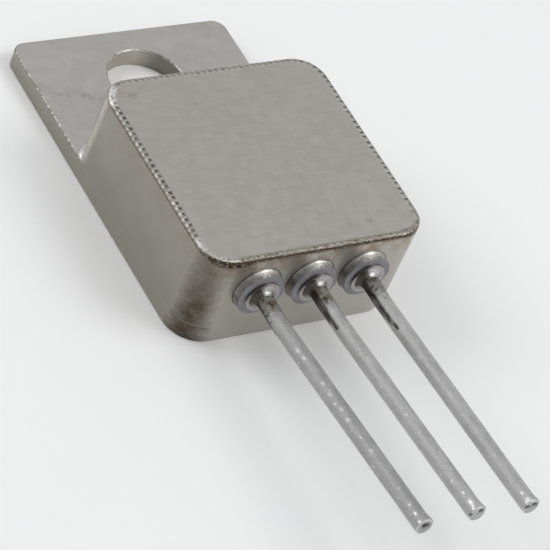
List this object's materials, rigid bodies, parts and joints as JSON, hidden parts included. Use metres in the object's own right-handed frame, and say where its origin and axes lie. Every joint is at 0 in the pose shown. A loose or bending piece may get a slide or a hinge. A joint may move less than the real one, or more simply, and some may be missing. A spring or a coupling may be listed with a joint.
{
  "type": "voltage regulator",
  "caption": "Voltage regulator in a sealed metal package: flat tab with a screw hole, square body with a seam-welded lid, and round leads through ceramic eyelets in one wall.",
  "frame": {"origin": "centre of the tab's screw hole on the mounting face", "axes": "+Z out of the mounting face towards the lid, -Y along the leads, +Y towards the tab's end"},
  "size_m": [0.0106, 0.0298, 0.0047],
  "materials": {
    "tab_plating": "satin nickel plating",
    "wall_plating": "satin nickel plating, warm heat tint",
    "lid_plating": "satin nickel plating",
    "weld_metal": "seam-welded, bright crests and dark pits",
    "braze_metal": "bright braze",
    "eyelet_ceramic": "grey-blue, semi-matt",
    "terminal_metal": "satin",
    "solder_coat": "solder-dipped, uneven",
    "inner_solder": "solder",
    "isolator_ceramic": "fired ceramic",
    "copper_land": "copper",
    "silicon": "polished silicon",
    "bond_metal": "soft aluminium"
  },
  "bodies": {
    "root": {"heat_sink_tab": "tab_plating", "frame_braze": "tab_plating", "wall_frame": "wall_plating", "lid": "lid_plating", "lid_weld_bead": "weld_metal", "substrate_solder": "inner_solder", "isolator_substrate": "isolator_ceramic", "die_pad": "copper_land", "die_solder": "inner_solder", "regulator_die": "silicon", "insulator_1": "eyelet_ceramic", "insulator_braze_1": "braze_metal", "terminal_washer_1": "terminal_metal", "lead_1": "solder_coat", "lead_braze_1": "braze_metal", "bond_ribbon_1": "bond_metal", "insulator_2": "eyelet_ceramic", "insulator_braze_2": "braze_metal", "terminal_washer_2": "terminal_metal", "lead_2": "solder_coat", "lead_braze_2": "braze_metal", "bond_ribbon_2": "bond_metal", "insulator_3": "eyelet_ceramic", "insulator_braze_3": "braze_metal", "terminal_washer_3": "terminal_metal", "lead_3": "solder_coat", "lead_braze_3": "braze_metal", "bond_ribbon_3": "bond_metal"}
  },
  "joints": []
}
